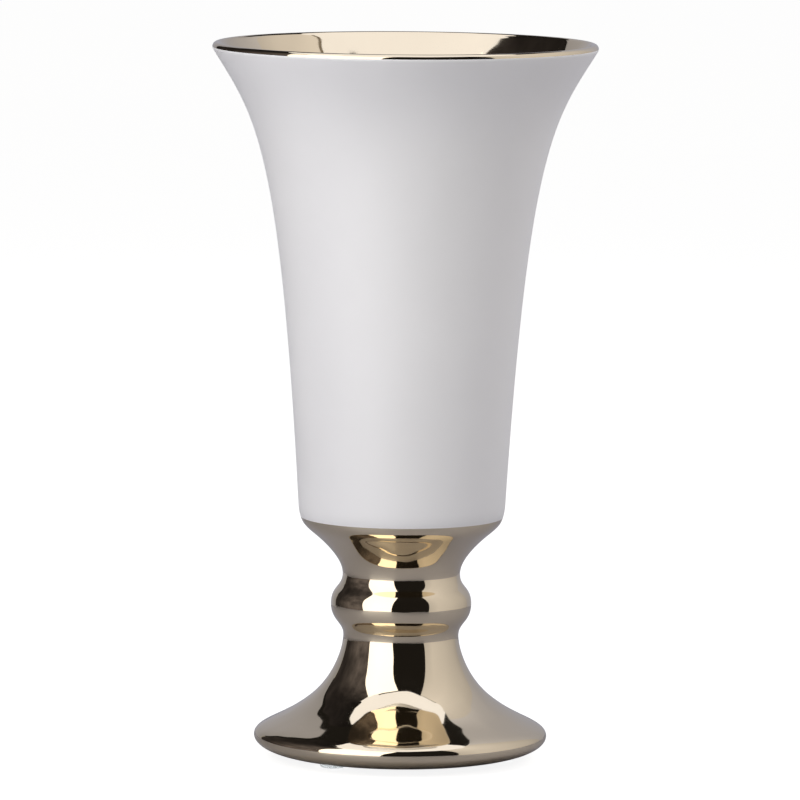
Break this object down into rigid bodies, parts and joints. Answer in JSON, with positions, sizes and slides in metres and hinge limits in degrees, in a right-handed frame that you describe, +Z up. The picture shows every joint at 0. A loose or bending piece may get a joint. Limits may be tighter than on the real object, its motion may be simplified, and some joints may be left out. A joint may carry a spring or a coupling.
{
  "type": "porcelain vase",
  "caption": "Flared trumpet vase of satin white porcelain with a mirror gold lip and lining, on a turned and gilded pedestal with a knop and a spreading foot.",
  "frame": {"origin": "on the table under the vase's axis, level with the bottoms of the bumper pads", "axes": "+Z up along the vase's axis; -Y towards the side that the vase is usually seen from; the axes are otherwise free, because the vase is round"},
  "size_m": [0.1662, 0.1662, 0.31],
  "materials": {
    "biscuit_porcelain": "fired porcelain without glaze, smooth and matte",
    "satin_white_glaze": "satin white glaze, soft sheen",
    "gold_lustre": "pale champagne gold, mirror bright, over glaze",
    "clear_bumper": "soft clear bumper, slightly milky",
    "clear_adhesive": "thin clear pressure adhesive"
  },
  "bodies": {
    "root": {"trumpet_bowl": "biscuit_porcelain", "pedestal": "biscuit_porcelain", "luting_ring": "biscuit_porcelain", "white_glaze": "satin_white_glaze", "gilded_lining": "gold_lustre", "pedestal_gilding": "gold_lustre", "bumper_pad_1": "clear_bumper", "bumper_pad_2": "clear_bumper", "bumper_pad_3": "clear_bumper", "pad_adhesive_1": "clear_adhesive", "pad_adhesive_2": "clear_adhesive", "pad_adhesive_3": "clear_adhesive"}
  },
  "joints": []
}
